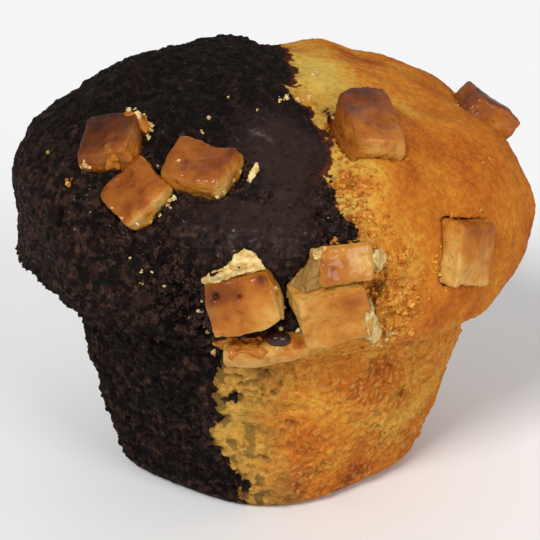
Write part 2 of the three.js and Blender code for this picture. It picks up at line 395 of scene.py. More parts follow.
# %% Crumb: where it is smooth, porous or torn
# All in millimetres: how high the lip is and how that turns with the azimuth, then the ranges over
# which the lip, the foot, the dark side and the top of the torn seam fade in or out
LIP_HEIGHT_MEAN = 31.5
LIP_HEIGHT_TURN = 2.2
LIP_FADE = (-1, 3)
FOOT_FADE = (0.3, 2.5)
SEAM_FADE = (-1.5, 1.5)
TOP_FADE = (50, 56)
SEAM_TEAR = 2.2
PATCH_SIZE = 8 * MM
# How strong the patches' noise is where torn spots start and where they are whole
TORN_NOISE = (0.35, 0.7)

crumb_tree = BVHTree.FromObject(crumb, bpy.context.evaluated_depsgraph_get())
places = places_of(crumb)
height = places[:, 2] / MM
azimuth = np.arctan2(places[:, 1], places[:, 0])
right = right_of_seam(places) + marked(places, crumb_tree, TONGUES)

lip_height = LIP_HEIGHT_MEAN - LIP_HEIGHT_TURN * np.cos(azimuth)
crown = smoothstep(*LIP_FADE, height - lip_height)
off_foot = smoothstep(*FOOT_FADE, height)
dark = 1 - smoothstep(*SEAM_FADE, right)
patches = mottle(places, PATCH_SIZE, seed=1)

skin = np.clip(marked(places, crumb_tree, SKIN), 0, 1) * dark * crown
by_seam = np.exp(-(right / SEAM_TEAR) ** 2) * crown * (1 - smoothstep(*TOP_FADE, height))
torn_patches = smoothstep(*TORN_NOISE, patches) * (0.1 + 0.4 * dark)
torn = np.clip(marked(places, crumb_tree, TORN) + 0.4 * by_seam + torn_patches, 0, 1)
porous = np.clip((1 - crown) * (0.85 + 0.5 * patches) + 0.8 * torn, 0, 1)
crust = np.clip(crown * (1 - torn) * (1 - skin), 0, 1)

weigh(crumb, "whole", off_foot)
weigh(crumb, "crags", off_foot * np.clip(0.16 + 0.65 * torn + 0.1 * dark - 0.2 * skin, 0, 1))
weigh(crumb, "cracked", off_foot * dark * np.clip(1 - 0.5 * crown + 0.6 * torn - 0.5 * skin, 0, 1))
weigh(crumb, "rough", off_foot * np.clip(1 - 0.6 * crown * (1 - torn), 0, 1))
weigh(crumb, "pitted", porous * off_foot)
weigh(crumb, "golden_crust", crust * off_foot * (1 - dark))
weigh(crumb, "dark_crust", crust * off_foot * dark * (0.7 + 0.5 * patches))
weigh(crumb, "folded", np.clip(skin + 0.6 * dark * crown, 0, 1))
print("torn share:", round(float(torn.mean()), 2), "porous share:", round(float(porous.mean()), 2))

# %% Crumb: relief
smooth_places = places_of(crumb)
smooth_normals = normals_of(crumb)

swell = texture("swellings", "CLOUDS", 6 * MM, noise_depth=1)
crag = texture("crags", "CLOUDS", 2.0 * MM, noise_depth=2)
pores = texture(
    "pores", "DISTORTED_NOISE", 1.4 * MM, noise_distortion="BLENDER_ORIGINAL", distortion=0.9,
    contrast=1.8, intensity=1.35,
)
small_pores = texture("small_pores", "VORONOI", 0.9 * MM, contrast=2.4, intensity=1.3)
grain = texture("grain", "CLOUDS", 0.8 * MM, noise_depth=1, contrast=1.4)
folds = texture("folds", "CLOUDS", 3.4 * MM, noise_type="HARD_NOISE", noise_depth=1)
cracks = texture(
    "cracks", "CLOUDS", 1.7 * MM, noise_type="HARD_NOISE", noise_depth=2, contrast=2.2,
    intensity=0.75,
)

# Each layer: its texture, its height in millimetres, the vertex group that says where it is strong,
# and the texture's value that moves nothing
RELIEF = [
    (swell, 0.6, "whole", 0.5),
    (crag, 1.3, "crags", 0.5),
    (pores, 0.3, "pitted", 1.0),
    (small_pores, 0.15, "pitted", 1.0),
    (small_pores, 0.2, "dark_crust", 1.0),
    (small_pores, 0.08, "golden_crust", 1.0),
    (cracks, 0.5, "cracked", 0.2),
    (folds, 0.7, "folded", 0.5),
    (grain, 0.32, "rough", 0.5),
]
for pattern, rise, group, middle in RELIEF:
    displace(crumb, pattern, rise * MM, group, middle)

holes = marked(smooth_places, crumb_tree, HOLES)
move_to(crumb, places_of(crumb) - smooth_normals * (holes * MM)[:, None])

baked_places = places_of(crumb)
# How deep each place sank. The finish darkens by it as painted shade in pits.
sunk = -np.einsum("ij,ij->i", baked_places - smooth_places, smooth_normals) / MM
paint(crumb, "sunk", sunk - np.median(sunk))
paint(crumb, "right_of_seam", right)
paint(crumb, "crown", crown)
paint(crumb, "torn", torn)
paint(crumb, "skin", skin)
paint(crumb, "porous", porous)
paint(crumb, "browned", marked(smooth_places, crumb_tree, BROWNED))
print("relief in mm, from", round(sunk.min(), 2), "to", round(sunk.max(), 2))

# %% Crumb: fewer faces
# The relief was made on a dense skin. Flat places need fewer faces than crags and pores.
CRUMB_TRIANGLES = 196000

dense = sum(len(p.vertices) - 2 for p in crumb.data.polygons)
add_modifier(crumb, "DECIMATE", ratio=CRUMB_TRIANGLES / dense)
print("crumb triangles:", dense, "then", len(crumb.data.polygons))

# %% [markdown]
# ## Helpers for finishes
#
# A finish is a tree of nodes. It could be drawn by hand in the shader editor. Helpers that add one
# node and fill its inputs keep it readable as text. Effects that more than one finish uses are
# shader node groups.

# %% Finish helpers
def add_node(tree, kind, inputs=None, **settings):
    node = tree.nodes.new(kind)
    for key, value in settings.items():
        setattr(node, key, value)
    fill(tree, node, inputs or {})
    return node


def colour(red, green, blue):
    """A colour on screen, from 0 to 255, as the shader's linear numbers."""
    def linear(value):
        share = value / 255
        return share / 12.92 if share <= 0.04045 else ((share + 0.055) / 1.055) ** 2.4
    return (linear(red), linear(green), linear(blue), 1)


def attribute(tree, name):
    return add_node(tree, "ShaderNodeAttribute", attribute_name=name).outputs["Fac"]


def ramp(tree, factor, stops):
    """Stops are pairs of a position and a colour on screen."""
    node = add_node(tree, "ShaderNodeValToRGB", {"Fac": factor})
    elements = node.color_ramp.elements
    while len(elements) < len(stops):
        elements.new(0.5)
    for element, (position, tone) in zip(elements, stops):
        element.position = position
        element.color = colour(*tone)
    return node.outputs["Color"]


def mix(tree, factor, first, second):
    node = add_node(tree, "ShaderNodeMix", {0: factor, 6: first, 7: second}, data_type="RGBA")
    return node.outputs[2]


def sums(tree, operation, first, second):
    return add_node(tree, "ShaderNodeMath", {0: first, 1: second}, operation=operation).outputs[0]


def times(tree, first, *others):
    """The product of its values."""
    for value in others:
        first = sums(tree, "MULTIPLY", first, value)
    return first


def stained(tree, tone, stain, *amounts):
    """A tone mixed towards a colour on screen, by the product of the amounts."""
    return mix(tree, times(tree, *amounts), tone, colour(*stain))


def spread(tree, value, low, high, to_low=0.0, to_high=1.0):
    """A value moved smoothly from one range to another."""
    node = add_node(
        tree, "ShaderNodeMapRange",
        {"Value": value, "From Min": low, "From Max": high, "To Min": to_low, "To Max": to_high},
        interpolation_type="SMOOTHSTEP")
    return node.outputs["Result"]


def centred(tree, value, amount):
    """Noise from 0 to 1 moved round nought and scaled."""
    return times(tree, sums(tree, "SUBTRACT", value, 0.5), amount)


def weighted(tree, total, value, amount):
    """A running total with a share of another value added."""
    inputs = {0: value, 1: amount, 2: total}
    return add_node(tree, "ShaderNodeMath", inputs, operation="MULTIPLY_ADD").outputs[0]


def bumped(tree, height, unit):
    """The normal that a height gives, where a height of one stands for the unit."""
    inputs = {"Height": height, "Strength": 1.0, "Distance": unit}
    return add_node(tree, "ShaderNodeBump", inputs).outputs["Normal"]


def new_group(name, numbers, outputs):
    group = bpy.data.node_groups.new(name, "ShaderNodeTree")
    for key, value in numbers.items():
        socket = group.interface.new_socket(name=key, in_out="INPUT", socket_type="NodeSocketFloat")
        socket.default_value = value
    for key in outputs:
        group.interface.new_socket(name=key, in_out="OUTPUT", socket_type="NodeSocketFloat")
    return group, group.nodes.new("NodeGroupInput"), group.nodes.new("NodeGroupOutput")


def use_group(tree, group, inputs):
    return add_node(tree, "ShaderNodeGroup", inputs, node_tree=group)


# %% Shared effect: blotches
# Noise with the contrast turned up, in the piece's own coordinates. Size is in millimetres.
blotches, given, out = new_group(
    "blotches", {"Size": 5.0, "Detail": 3.0, "Low": 0.4, "High": 0.6, "Shift": 0.0}, ["Value", "Raw"])
where = add_node(blotches, "ShaderNodeTexCoord").outputs["Object"]
moved = add_node(blotches, "ShaderNodeVectorMath", {0: where, 1: given.outputs["Shift"]}, operation="ADD")
per_metre = sums(blotches, "DIVIDE", 1000.0, given.outputs["Size"])
field = add_node(
    blotches, "ShaderNodeTexNoise",
    {"Vector": moved.outputs[0], "Scale": per_metre, "Detail": given.outputs["Detail"]})
shaped = add_node(
    blotches, "ShaderNodeMapRange",
    {"Value": field.outputs["Fac"], "From Min": given.outputs["Low"], "From Max": given.outputs["High"]},
    interpolation_type="SMOOTHSTEP")
blotches.links.new(shaped.outputs["Result"], out.inputs["Value"])
blotches.links.new(field.outputs["Fac"], out.inputs["Raw"])


def blotchy(tree, size, detail=3.0, low=0.4, high=0.6, shift=0.0, output="Value"):
    """Blotches with their contrast turned up, or the raw noise under them."""
    inputs = {"Size": size, "Detail": detail, "Low": low, "High": high, "Shift": shift}
    return use_group(tree, blotches, inputs).outputs[output]


# %% Shared effect: fine pores
# Small round holes: Voronoi cells that are dark in the middle. Only a share of the cells has a hole,
# and noise bends the field, so that no hole is a true circle.
pore_field, given, out = new_group("pore_field", {"Size": 1.2, "Share": 0.5}, ["Pore"])
where = add_node(pore_field, "ShaderNodeTexCoord").outputs["Object"]
per_metre = sums(pore_field, "DIVIDE", 1000.0, given.outputs["Size"])
bend = add_node(pore_field, "ShaderNodeTexNoise", {"Vector": where, "Scale": per_metre, "Detail": 1.0})
push = add_node(
    pore_field, "ShaderNodeVectorMath", {0: bend.outputs["Color"], "Scale": MM}, operation="SCALE")
bent = add_node(pore_field, "ShaderNodeVectorMath", {0: where, 1: push.outputs[0]}, operation="ADD")
cells = add_node(pore_field, "ShaderNodeTexVoronoi", {"Vector": bent.outputs[0], "Scale": per_metre})
hole = spread(pore_field, cells.outputs["Distance"], 0.5, 0.15)
lot = add_node(pore_field, "ShaderNodeSeparateColor", {"Color": cells.outputs["Color"]}).outputs["Red"]
chosen = sums(pore_field, "LESS_THAN", lot, given.outputs["Share"])
pore_field.links.new(times(pore_field, hole, chosen), out.inputs["Pore"])


def pored(tree, size, share):
    return use_group(tree, pore_field, {"Size": size, "Share": share}).outputs["Pore"]


# %% [markdown]
# ## The crumb's finish
#
# One finish covers both batters, because they are one baked body. The seam distance, broken up by
# noise, chooses between them. Two finishes on faces of their own would meet in a sawtooth. The
# vanilla side is pale and yellow near the seam, golden on the crown, and orange to reddish brown at
# the lip and low on the wall, with painted shade in its pores and pits. The chocolate side is a brown
# near to black with lighter crumbs, glossier where its skin is smooth, with painted shade that makes
# its gaps, holes and pits black and the top of its crown darker still.

# %% Crumb finish: what both batters read
def crumb_fields(tree):
    """The attributes and noises of the crumb, by name."""
    at = SimpleNamespace(**{name: attribute(tree, name) for name in ("sunk", "crown", "skin", "porous")})
    at.nubs = blotchy(tree, 1.0, 4.0, 0.36, 0.64)
    at.grit = blotchy(tree, 0.42, 2.0, 0.36, 0.64, 1.0)
    at.dark_grains = blotchy(tree, 1.3, 5.0, 0.53, 0.64, 14.0)
    at.gaps = blotchy(tree, 1.3, 5.0, 0.48, 0.58, 16.0)
    at.holes = pored(tree, 1.0, 0.45)
    at.pinholes = pored(tree, 0.6, 0.5)

    wide = centred(tree, blotchy(tree, 4.0, output="Raw"), 4.0)
    fine = centred(tree, blotchy(tree, 1.4, 6.0, output="Raw"), 1.0)
    ragged = sums(tree, "ADD", wide, times(tree, fine, spread(tree, at.crown, 0.0, 1.0, 6.0, 3.5)))
    at.seam = sums(tree, "ADD", attribute(tree, "right_of_seam"), ragged)
    at.vanilla = spread(tree, at.seam, -0.2, 0.2)

    place = add_node(tree, "ShaderNodeTexCoord").outputs["Object"]
    xyz = add_node(tree, "ShaderNodeSeparateXYZ", {"Vector": place})
    at.across = xyz.outputs["X"]
    at.height = xyz.outputs["Z"]
    return at


# %% Crumb finish: vanilla
TOAST_TONES = [
    (0.10, (198, 164, 76)),
    (0.30, (194, 144, 54)),
    (0.50, (182, 109, 32)),
    (0.70, (166, 88, 25)),
    (0.92, (122, 56, 20)),
]


def vanilla_tone(tree, at):
    """Pale to reddish brown by how toasted it is, then tinted, grained and smudged, with painted shade in
    its pores and pits.
    """
    cloudy = blotchy(tree, 8.0, 5.0, shift=3.0, output="Raw")
    toast = sums(tree, "ADD", 0.5, centred(tree, cloudy, 0.9))
    for value, amount in (
        (attribute(tree, "browned"), 1.0),
        (times(tree, spread(tree, at.across, 0.0, 0.036), at.crown), 0.10),
        (spread(tree, at.height, 0.012, 0.0), 0.12),
        (spread(tree, at.seam, 9.0, 0.5), -0.22),
        (attribute(tree, "torn"), -0.06),
    ):
        toast = weighted(tree, toast, value, amount)
    toast = sums(tree, "ADD", toast, centred(tree, at.nubs, -0.14))
    toast = sums(tree, "ADD", toast, centred(tree, at.grit, -0.08))
    tone = ramp(tree, toast, TOAST_TONES)

    low_down = spread(tree, at.crown, 0.8, 0.0, 0.0, 0.65)
    on_wall = spread(tree, at.crown, 1.0, 0.2, 0.12, 0.8)
    light_grains = blotchy(tree, 0.7, 3.0, 0.50, 0.62, 12.0)
    stain = blotchy(tree, 2.0, 4.0, 0.50, 0.58, 7.0)
    smudge = times(tree, spread(tree, at.seam, 2.4, 0.0), blotchy(tree, 1.4, 3.0, 0.42, 0.60, 5.0))
    painted_pit_shade = spread(tree, at.sunk, 0.18, 0.8)
    tone = stained(tree, tone, (160, 126, 56), spread(tree, at.seam, 12.0, 4.0), low_down)
    tone = stained(tree, tone, (204, 152, 82), light_grains, at.porous, 0.45)
    tone = stained(tree, tone, (128, 82, 32), at.dark_grains, at.porous, 0.5)
    tone = stained(tree, tone, (88, 70, 34), stain, spread(tree, at.seam, 12.0, 2.0), on_wall)
    tone = stained(tree, tone, (104, 70, 34), smudge, spread(tree, at.crown, 0.0, 1.0, 0.8, 0.45))
    # Painted shade: the pores and pinholes, which the bump also sinks, and the places the relief sank are
    # darkened.
    tone = stained(tree, tone, (118, 80, 28), at.holes, at.porous, 0.15)
    tone = stained(tree, tone, (146, 84, 26), at.pinholes, 0.12)
    return stained(tree, tone, (104, 66, 24), painted_pit_shade, spread(tree, at.crown, 0.0, 1.0, 0.75, 0.45))


# %% Crumb finish: chocolate
COCOA_TONES = [
    (0.30, (22, 15, 12)),
    (0.48, (37, 24, 19)),
    (0.60, (50, 33, 26)),
    (0.75, (68, 45, 34)),
]


def chocolate_tone(tree, at):
    """Brown near to black, with crumbs and a rusty seam on the crown, and painted shade that blackens gaps,
    holes and pits and darkens the top.
    """
    crumbs = blotchy(tree, 0.9, 2.0, 0.56, 0.66, 4.0)
    off_skin = spread(tree, at.skin, 0.0, 1.0, 0.85, 0.30)
    beside_seam = spread(tree, at.seam, -1.3, -0.1)
    tone = ramp(tree, blotchy(tree, 2.2, 4.0, shift=9.0, output="Raw"), COCOA_TONES)
    tone = stained(tree, tone, (84, 58, 44), crumbs, 0.45)
    # Painted shade: the gaps, which the bump also sinks, are made nearly black.
    tone = stained(tree, tone, (11, 8, 7), at.gaps, off_skin)
    # Painted shade: darker towards the top of the crown, where less light falls.
    tone = stained(tree, tone, (8, 6, 5), spread(tree, at.height, 0.050, 0.062), 0.6)
    tone = stained(tree, tone, (45, 28, 24), at.skin, 0.7)
    tone = stained(tree, tone, (100, 42, 18), beside_seam, at.crown, 0.7)
    # Painted shade in the holes and where the relief sank.
    tone = stained(tree, tone, (8, 5, 4), at.holes, 0.7)
    return stained(tree, tone, (9, 6, 5), spread(tree, at.sunk, 0.1, 0.6), 0.9)


# %% Crumb finish: fine relief
def crumb_rise(tree, at):
    """A height in millimetres. It is softer on vanilla, and nearly flat on the smooth skin."""
    softer = spread(tree, at.vanilla, 0.0, 1.0, 1.0, 0.45)
    on_chocolate = spread(tree, at.vanilla, 1.0, 0.0)
    deep = times(tree, at.holes, spread(tree, at.porous, 0.0, 1.0, 0.05, 0.12))
    rise = times(tree, at.nubs, softer, spread(tree, at.crown, 0.0, 1.0, 0.18, 0.09))
    rise = weighted(tree, rise, at.grit, 0.02)
    rise = weighted(tree, rise, at.pinholes, -0.03)
    rise = weighted(tree, rise, at.dark_grains, -0.05)
    rise = weighted(tree, rise, times(tree, at.gaps, on_chocolate), -0.25)
    rise = sums(tree, "SUBTRACT", rise, deep)
    return times(tree, rise, spread(tree, at.skin, 0.0, 1.0, 1.0, 0.25))


# %% Crumb finish: put together
CRUMB_LOOK = {
    "Specular IOR Level": 0.08,
    "Coat Roughness": 0.26,
    "Subsurface Weight": 0.12,
    "Subsurface Radius": (1.0, 0.6, 0.3),
    "Subsurface Scale": 0.0007,
}


def crumb_finish():
    material, tree, shader = new_finish("baked_crumb", CRUMB_LOOK)
    at = crumb_fields(tree)
    moist = blotchy(tree, 0.8, 2.0, 0.63, 0.70, 6.0)
    coat = times(tree, moist, spread(tree, at.vanilla, 0.0, 1.0, 0.35, 0.20))
    fill(tree, shader, {
        "Base Color": mix(tree, at.vanilla, chocolate_tone(tree, at), vanilla_tone(tree, at)),
        "Roughness": sums(tree, "SUBTRACT", 0.85, times(tree, at.skin, 0.38)),
        "Coat Weight": sums(tree, "ADD", coat, times(tree, at.skin, 0.16)),
        "Normal": bumped(tree, crumb_rise(tree, at), MM),
    })
    print("crumb finish:", len(tree.nodes), "nodes")
    return material


crumb.data.materials.append(crumb_finish())
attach(crumb, "root")
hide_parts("crumb")

# %% [markdown]
# ## The caramel chunks
#
# Each chunk is a soft block that browned where it stood out of the crumb. It could be a cube shaped
# by hand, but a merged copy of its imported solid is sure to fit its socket. The copy is remeshed
# fine, and two layers of relief make its dents and wrinkles. Its browning is a slope over its own
# width and height, its sides are paler than its outer face, and marks add what a slope can't, so
# one chunk has a dark cap and another a brown edge, as in the photo.

# %% Chunks: how brown and how glossy
# Browning at the middle, its growth to the right and upwards, what the outer face has on top of
# that, and the glaze
CHUNK_LOOKS = {
    "chunk_left_back": (0.74, -0.10, 0.14, 0.08, 0.26),
    "chunk_left_inner": (0.38, 0.03, 0.02, 0.16, 0.36),
    "chunk_left_front": (0.34, -0.04, 0.06, 0.16, 0.25),
    "chunk_front_left": (0.32, -0.14, 0.16, 0.08, 0.25),
    "chunk_front_upper": (0.14, -0.04, 0.00, 0.06, 0.40),
    "chunk_front_lower": (0.18, 0.05, 0.03, 0.03, 0.25),
    "chunk_top_right": (0.58, -0.06, 0.28, -0.06, 0.40),
    "chunk_right_back": (0.58, -0.10, 0.10, 0.10, 0.30),
    "chunk_right_front": (0.24, 0.02, 0.22, 0.02, 0.15),
    "chunk_front_sliver": (0.18, 0.00, 0.05, -0.04, 0.30),
    "chunk_back_inner": (0.36, -0.04, 0.05, 0.18, 0.40),
    "chunk_back_right": (0.30, 0.05, 0.22, 0.08, 0.25),
    "chunk_back_left": (0.58, 0.00, 0.10, 0.12, 0.40),
    "chunk_back_low": (0.28, 0.00, 0.16, 0.08, 0.25),
}
# Where a chunk is clear and greyish, with little browning: a pixel, a radius and a share
CLEAR_MARKS = {
    "chunk_front_upper": [(312, 268, 1.2, 0.7), (314, 284, 1.2, 0.6)],
    "chunk_front_left": [(277, 300, 1.0, 0.4), (203, 320, 0.9, 0.4)],
    "chunk_left_back": [(135, 135, 1.4, 0.4), (112, 160, 1.6, 0.3)],
    "chunk_left_inner": [(230, 180, 1.2, 0.5)],
    "chunk_left_front": [(160, 206, 1.2, 0.5), (140, 220, 1.0, 0.5)],
}
# Marks as on the crumb: a pixel, a radius, a share of browning and a depth in millimetres
CHUNK_MARKS = {
    "chunk_left_back": [
        (98, 126, 1.4, 0.12, 0.0), (112, 150, 1.6, -0.22, 0.0), (130, 148, 1.4, -0.18, 0.2),
        (84, 116, 1.4, 0.0, 0.9), (106, 146, 0.5, -0.15, -0.25),
    ],
    "chunk_left_inner": [
        (232, 152, 1.0, 0.18, -0.2), (212, 164, 1.0, 0.10, 0.25), (222, 188, 1.6, -0.30, 0.0),
        (190, 150, 1.2, -0.08, -0.2), (240, 166, 1.0, -0.25, 0.0), (178, 160, 0.8, -0.15, 0.1),
        (205, 182, 1.2, -0.12, 0.15),
    ],
    "chunk_left_front": [
        (128, 208, 1.0, 0.16, 0.0), (158, 202, 1.4, -0.22, 0.0), (120, 182, 1.2, 0.05, 0.2),
        (140, 190, 0.8, 0.14, 0.15), (138, 218, 1.0, -0.20, 0.0),
    ],
    "chunk_front_left": [
        (214, 297, 1.2, 0.18, 0.10), (215, 297, 0.42, 0.14, 0.8), (238, 297, 0.8, 0.16, 0.10),
        (239, 297, 0.32, 0.22, 1.0), (228, 292, 1.7, 0.16, 0.1), (262, 278, 0.9, 0.40, 0.0),
        (255, 305, 2.0, -0.06, 0.0), (272, 318, 2.0, -0.18, 0.0), (224, 318, 0.7, 0.10, 0.2),
        (242, 330, 1.2, 0.06, 0.0), (206, 310, 1.2, 0.08, 0.0), (216, 334, 1.2, -0.12, 0.0),
    ],
    "chunk_front_upper": [
        (333, 272, 1.6, 0.22, 0.1), (322, 262, 0.8, 0.12, 0.0), (325, 283, 0.8, 0.10, 0.0),
        (362, 262, 1.8, -0.12, 0.0), (345, 262, 0.7, 0.12, 0.0),
    ],
    "chunk_front_lower": [
        (300, 312, 1.3, -0.12, 0.0), (352, 306, 1.8, 0.12, 0.2), (370, 322, 1.4, -0.14, 0.0),
        (325, 332, 2.0, -0.02, 0.25), (343, 300, 1.2, 0.10, 0.15), (315, 318, 1.2, -0.05, -0.2),
    ],
    "chunk_top_right": [
        (352, 108, 1.0, 0.14, 0.0), (348, 130, 1.2, -0.16, 0.2), (376, 150, 1.6, -0.14, 0.0),
        (366, 92, 2.2, 0.14, 0.0), (362, 125, 0.9, -0.08, -0.25), (384, 125, 1.2, 0.08, 0.3),
    ],
    "chunk_right_back": [
        (466, 98, 1.4, 0.14, 0.2), (480, 92, 1.4, 0.12, 0.0), (500, 122, 1.6, -0.24, 0.2),
    ],
    "chunk_right_front": [
        (470, 222, 2.0, 0.16, 0.0), (452, 262, 1.6, -0.08, 0.15), (476, 238, 1.2, 0.10, 0.0),
        (472, 256, 0.9, 0.08, 0.1),
    ],
    "chunk_front_sliver": [
        (232, 341, 0.8, 0.30, 0.5), (246, 340, 0.7, 0.34, 0.6), (258, 341, 0.7, 0.30, 0.5),
        (300, 342, 0.9, 0.30, 0.2), (285, 352, 1.0, 0.10, 0.2), (240, 352, 0.8, -0.10, 0.0),
    ],
}

# %% Chunks: their form
# Upwards in the picture, and the point inside the muffin that every chunk faces away from
UPRIGHT = Vector((0, 0.36, 0.93))
MIDDLE = Vector((0, 0, 30 * MM))
CHUNK_VOXEL = 0.26 * MM
DENT_HEIGHT = 0.6 * MM
DENT_MIDDLE = 0.18
WRINKLE_HEIGHT = 0.3 * MM
# How squarely a face looks outwards where the outer face's look starts, and where it is whole
OUTER_FACE = (0.3, 0.9)
PALE_SIDES = 0.12

dents = texture("dents", "CLOUDS", 3.5 * MM, noise_depth=1)
wrinkles = texture("wrinkles", "CLOUDS", 1.2 * MM, noise_depth=2)


def chunk_frame(places):
    """The chunk's middle and its directions: right, up and out of the crumb."""
    middle = (places.max(0) + places.min(0)) / 2
    out = (Vector(middle) - MIDDLE).normalized()
    across = UPRIGHT.cross(out).normalized()
    return middle, np.array([across, out.cross(across), out])


def caramel_chunk(node):
    piece = copy_of_node(node, node.replace("chunk", "caramel"))
    remesh(piece, CHUNK_VOXEL)
    add_modifier(piece, "SMOOTH", factor=0.5, iterations=4)
    displace(piece, dents, DENT_HEIGHT, middle=DENT_MIDDLE)
    displace(piece, wrinkles, WRINKLE_HEIGHT)
    places = places_of(piece)
    tree = BVHTree.FromObject(piece, bpy.context.evaluated_depsgraph_get())
    middle, directions = chunk_frame(places)
    local = (places - middle) @ directions.T
    local /= np.abs(local).max(0)
    facing = smoothstep(*OUTER_FACE, normals_of(piece) @ directions[2])
    level, to_right, upwards, outer_face, glaze = CHUNK_LOOKS[node]
    browned = level + local @ np.array([to_right, upwards, 0])
    browned += outer_face * facing - PALE_SIDES * (1 - facing)
    marks = CHUNK_MARKS.get(node, [])
    browned += marked(places, tree, [(x, y, radius, share) for x, y, radius, share, depth in marks])
    depths = marked(places, tree, [(x, y, radius, depth) for x, y, radius, share, depth in marks])
    move_to(piece, places - normals_of(piece) * (depths * MM)[:, None])
    paint(piece, "browned", browned + 0.08 * mottle(places, 2.5 * MM, seed=2))
    paint(piece, "glaze", np.full(len(places), glaze))
    paint(piece, "clear", np.clip(marked(places, tree, CLEAR_MARKS.get(node, [])), 0, 1))
    return piece


# %% Caramel finish
CARAMEL_TONES = [
    (0.00, (194, 150, 76)),
    (0.20, (176, 112, 38)),
    (0.40, (154, 86, 24)),
    (0.60, (122, 60, 15)),
    (0.80, (88, 39, 11)),
    (1.00, (56, 24, 9)),
]
CARAMEL_LOOK = {
    "Specular IOR Level": 0.08,
    "Coat Roughness": 0.12,
    "Subsurface Weight": 0.10,
    "Subsurface Radius": (1.0, 0.5, 0.2),
    "Subsurface Scale": 0.0012,
}


def caramel_finish():
    material, tree, shader = new_finish("baked_caramel", CARAMEL_LOOK)
    patchy = blotchy(tree, 1.5, 4.0, shift=2.0, output="Raw")
    bubbles = pored(tree, 1.3, 0.25)
    level = sums(tree, "ADD", attribute(tree, "browned"), centred(tree, patchy, 0.34))
    # Painted shade: the bubbles, which the bump sinks, are made a little darker.
    level = weighted(tree, level, bubbles, 0.08)
    rise = times(tree, blotchy(tree, 0.9, 3.0, 0.36, 0.64), 0.07)
    rise = weighted(tree, rise, patchy, 0.35)
    rise = weighted(tree, rise, bubbles, -0.12)
    tone = ramp(tree, level, CARAMEL_TONES)
    fill(tree, shader, {
        "Base Color": stained(tree, tone, (140, 114, 62), attribute(tree, "clear")),
        "Roughness": spread(tree, patchy, 0.3, 0.7, 0.58, 0.42),
        "Coat Weight": attribute(tree, "glaze"),
        "Normal": bumped(tree, rise, MM),
    })
    return material


caramel = caramel_finish()
chunks = {}
for node in chunk_names:
    piece = caramel_chunk(node)
    piece.data.materials.append(caramel)
    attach(piece, "root")
    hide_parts(node)
    chunks[node] = piece
print("chunk faces:", sum(len(c.data.polygons) for c in chunks.values()))

# %% [markdown]
# ## Broken bits
#
# Where the batter tore round the chunks, bits of cream, caramel and crumb lie about. A broken bit
# larger than a crumb is a flake: a circle whose corners are set on the surface where the picture
# shows them, extruded to its thickness, remeshed and roughened. A loose crumb is a nugget: a cube
# subdivided once, copied many times with its own size, turn and dents, and joined into one mesh.
# Both could be scattered by chance alone, but the bits that the picture shows have their own places.

# %% Finish of the broken bits
def bit_finish(name, tones, size, roughness, coat, bump_height):
    """A broken bit's finish: blotches between tones, with a rough or glossy skin."""
    material, tree, shader = new_finish(name, {
        "Roughness": roughness, "Specular IOR Level": 0.15, "Coat Weight": coat, "Coat Roughness": 0.12,
    })
    stops = [(0.36 + 0.28 * i / (len(tones) - 1), tone) for i, tone in enumerate(tones)]
    fill(tree, shader, {
        "Base Color": ramp(tree, blotchy(tree, size, 4.0, shift=8.0, output="Raw"), stops),
        "Normal": bumped(tree, blotchy(tree, 0.5, 2.0, 0.36, 0.64), bump_height),
    })
    return material


cream = bit_finish("cream", [(186, 150, 86), (210, 180, 114), (226, 204, 150)], 1.2, 0.7, 0.0, 0.10 * MM)
dark_bit = bit_finish("dark_bit", [(20, 13, 10), (42, 27, 20), (70, 46, 34)], 0.8, 0.8, 0.0, 0.08 * MM)
gold_bit = bit_finish("gold_bit", [(150, 80, 25), (190, 116, 38), (210, 156, 66)], 0.9, 0.75, 0.0, 0.08 * MM)
burnt_drop = bit_finish("burnt_drop", [(28, 11, 10), (48, 20, 18), (74, 34, 26)], 1.5, 0.35, 0.45, 0.03 * MM)
print("finishes:", ", ".join(material.name for material in bpy.data.materials))

# %% Where a pixel meets a finished piece
finished = [crumb] + list(chunks.values())
graph = bpy.context.evaluated_depsgraph_get()
surfaces = [BVHTree.FromObject(piece, graph) for piece in finished]
print("surfaces to meet:", len(surfaces))


def seen(x, y):
    """The place and the outward direction of the first surface under a pixel."""
    start, way = sight_line(x, y)
    hits = [tree.ray_cast(start, way) for tree in surfaces]
    nearest = min((hit for hit in hits if hit[0] is not None), key=lambda hit: hit[3])
    return nearest[0], nearest[1]


def keep(piece, finish):
    piece.data.materials.clear()
    piece.data.materials.append(finish)
    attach(piece, "root")


